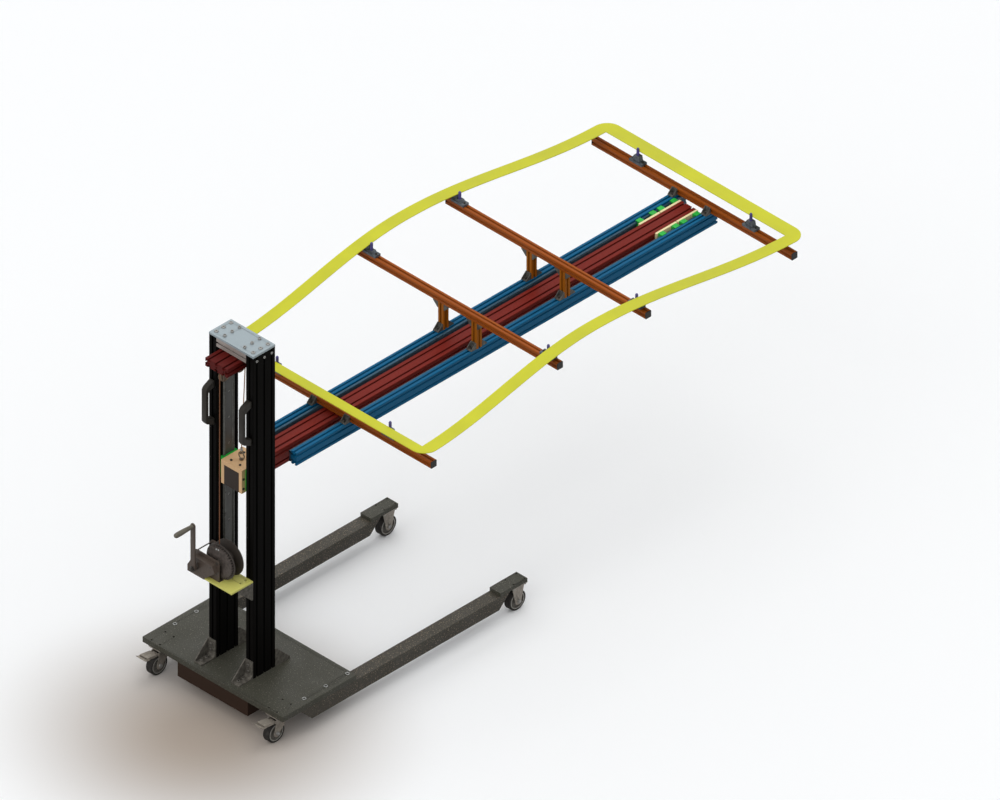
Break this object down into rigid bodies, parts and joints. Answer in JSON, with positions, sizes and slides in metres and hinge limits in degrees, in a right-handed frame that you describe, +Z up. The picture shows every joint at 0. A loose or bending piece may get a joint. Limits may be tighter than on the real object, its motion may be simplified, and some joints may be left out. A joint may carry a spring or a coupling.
{
  "type": "installation cart",
  "caption": "Wheeled lift cart with a hand winch on a slotted mast, a vertical carriage with a long boom, and a curved panel frame that slides along it.",
  "frame": {"origin": "on the floor, at the centre of the whole part's bounding box", "axes": "+X to the cart's right, +Y forward along the boom, +Z up"},
  "size_m": [1.086, 2.827, 1.665],
  "materials": {
    "black_plate": "black speckled powder coat",
    "black_steel": "satin black paint",
    "zinc": "zinc plated",
    "rim_metal": "dull zinc",
    "tyre": "dark solid rubber",
    "pedal": "pressed plated steel",
    "post_black": "black anodised, extruded",
    "cast_grey": "rough cast",
    "plate_grey": "clear anodised, milled",
    "beam_brown": "brown anodised, extruded",
    "rail": "grey anodised rail",
    "handle": "black moulded",
    "shelf_yellow": "yellow green paint",
    "winch_brown": "dark brown paint",
    "sheave": "turned",
    "bracket": "grey paint",
    "bolt": "bright zinc",
    "cable": "stranded, brown jacket",
    "cable_front": "stranded, tan jacket",
    "tan": "matte tan paint",
    "black_panel": "satin black paint",
    "green": "green sliding plastic",
    "boom_red": "dark red anodised, extruded",
    "eye": "dark plated",
    "cream": "cream anodised plate",
    "beam_blue": "dark blue anodised, extruded",
    "bar_orange": "orange anodised, extruded",
    "post_orange": "brown orange anodised, extruded",
    "small_cast": "cast, dark",
    "stop_grey": "grey paint",
    "purple": "purple moulded",
    "cap_black": "black moulded",
    "panel_yellow": "yellow green paint",
    "grip": "brown grey moulded"
  },
  "bodies": {
    "chassis": {"base_plate": "black_plate", "ballast_block": "black_steel", "legs": "black_steel", "front_pads": "black_plate", "posts": "post_black", "corner_gussets": "cast_grey", "top_plate": "plate_grey", "top_beam": "beam_brown", "pulley_beam": "boom_red", "mast_rails": "rail", "push_handles": "handle", "winch_shelf": "shelf_yellow", "winch_frame": "winch_brown", "winch_cover": "winch_brown", "sheave_bracket": "bracket", "sheave_pins": "bolt", "chassis_screws": "bolt", "caster_plates": "zinc", "front_forks": "zinc", "front_axles": "bolt", "lift_cable": "cable", "drop_cable": "cable_front"},
    "rear_swivel_left": {"rear_fork_left": "zinc", "rear_axle_left": "bolt"},
    "rear_wheel_left": {"rear_rim_left": "rim_metal", "rear_tyre_left": "tyre"},
    "rear_pedal_left": {"brake_pedal_left": "pedal"},
    "front_wheel_left": {"front_rim_left": "rim_metal", "front_tyre_left": "tyre"},
    "rear_swivel_right": {"rear_fork_right": "zinc", "rear_axle_right": "bolt"},
    "rear_wheel_right": {"rear_rim_right": "rim_metal", "rear_tyre_right": "tyre"},
    "rear_pedal_right": {"brake_pedal_right": "pedal"},
    "front_wheel_right": {"front_rim_right": "rim_metal", "front_tyre_right": "tyre"},
    "drum": {"winch_drum": "winch_brown", "drum_gear": "winch_brown", "drum_winding": "cable"},
    "crank": {"pinion_shaft": "zinc", "crank_arm": "winch_brown"},
    "grip": {"crank_grip": "grip"},
    "sheave_behind": {"sheave_rear": "sheave"},
    "sheave_ahead": {"sheave_front": "sheave"},
    "carriage": {"carriage_box": "tan", "carriage_back": "black_panel", "carriage_bearings": "green", "boom": "boom_red", "lifting_eye": "eye", "slide_plates": "cream", "slide_bearings": "green"},
    "sliding_frame": {"beams": "beam_blue", "beam_rails": "rail", "cross_bars": "bar_orange", "bar_posts": "post_orange", "bar_gussets": "small_cast", "stop_blocks": "stop_grey", "stop_pins": "purple", "bar_caps": "cap_black", "panel_frame": "panel_yellow"}
  },
  "joints": [
    {"name": "mast_lift", "type": "slide", "parent": "chassis", "child": "carriage", "axis": [0, 0, 1], "range_m": [-0.39, 0.32], "deforming": ["drop_cable"]},
    {"name": "frame_slide", "type": "slide", "parent": "carriage", "child": "sliding_frame", "axis": [0, 1, 0], "range_m": [-0.04, 1.2]},
    {"name": "drum_spin", "type": "hinge", "parent": "chassis", "child": "drum", "pos_m": [0.022, -1.2215, 0.687], "axis": [0, 1, 0], "continuous": true},
    {"name": "crank_turn", "type": "hinge", "parent": "chassis", "child": "crank", "pos_m": [-0.06094, -1.2215, 0.64709], "axis": [0, 1, 0], "continuous": true},
    {"name": "grip_spin", "type": "hinge", "parent": "crank", "child": "grip", "pos_m": [-0.06094, -1.3585, 0.84709], "axis": [0, 1, 0], "continuous": true},
    {"name": "sheave_rear_spin", "type": "hinge", "parent": "chassis", "child": "sheave_behind", "pos_m": [0, -1.2025, 1.535], "axis": [1, 0, 0], "continuous": true},
    {"name": "sheave_front_spin", "type": "hinge", "parent": "chassis", "child": "sheave_ahead", "pos_m": [0, -1.1185, 1.535], "axis": [1, 0, 0], "continuous": true},
    {"name": "rear_swivel_left", "type": "hinge", "parent": "chassis", "child": "rear_swivel_left", "pos_m": [-0.317, -1.2215, 0.1], "axis": [0, 0, 1], "range_deg": [-100, 160]},
    {"name": "rear_roll_left", "type": "hinge", "parent": "rear_swivel_left", "child": "rear_wheel_left", "pos_m": [-0.317, -1.2545, 0.045], "axis": [1, 0, 0], "continuous": true},
    {"name": "brake_press_left", "type": "hinge", "parent": "rear_swivel_left", "child": "rear_pedal_left", "pos_m": [-0.317, -1.2595, 0.097], "axis": [1, 0, 0], "range_deg": [0, 10]},
    {"name": "front_roll_left", "type": "hinge", "parent": "chassis", "child": "front_wheel_left", "pos_m": [-0.35, 0.0185, 0.045], "axis": [1, 0, 0], "continuous": true},
    {"name": "rear_swivel_right", "type": "hinge", "parent": "chassis", "child": "rear_swivel_right", "pos_m": [0.317, -1.2215, 0.1], "axis": [0, 0, 1], "range_deg": [-160, 100]},
    {"name": "rear_roll_right", "type": "hinge", "parent": "rear_swivel_right", "child": "rear_wheel_right", "pos_m": [0.317, -1.2545, 0.045], "axis": [1, 0, 0], "continuous": true},
    {"name": "brake_press_right", "type": "hinge", "parent": "rear_swivel_right", "child": "rear_pedal_right", "pos_m": [0.317, -1.2595, 0.097], "axis": [1, 0, 0], "range_deg": [0, 10]},
    {"name": "front_roll_right", "type": "hinge", "parent": "chassis", "child": "front_wheel_right", "pos_m": [0.35, 0.0185, 0.045], "axis": [1, 0, 0], "continuous": true}
  ],
  "couplings": [
    {"joint": "drum_spin", "follows": "mast_lift", "rad_per_m": -34.483},
    {"joint": "crank_turn", "follows": "mast_lift", "rad_per_m": 93.596},
    {"joint": "sheave_rear_spin", "follows": "mast_lift", "rad_per_m": 36.697},
    {"joint": "sheave_front_spin", "follows": "mast_lift", "rad_per_m": 36.697}
  ]
}
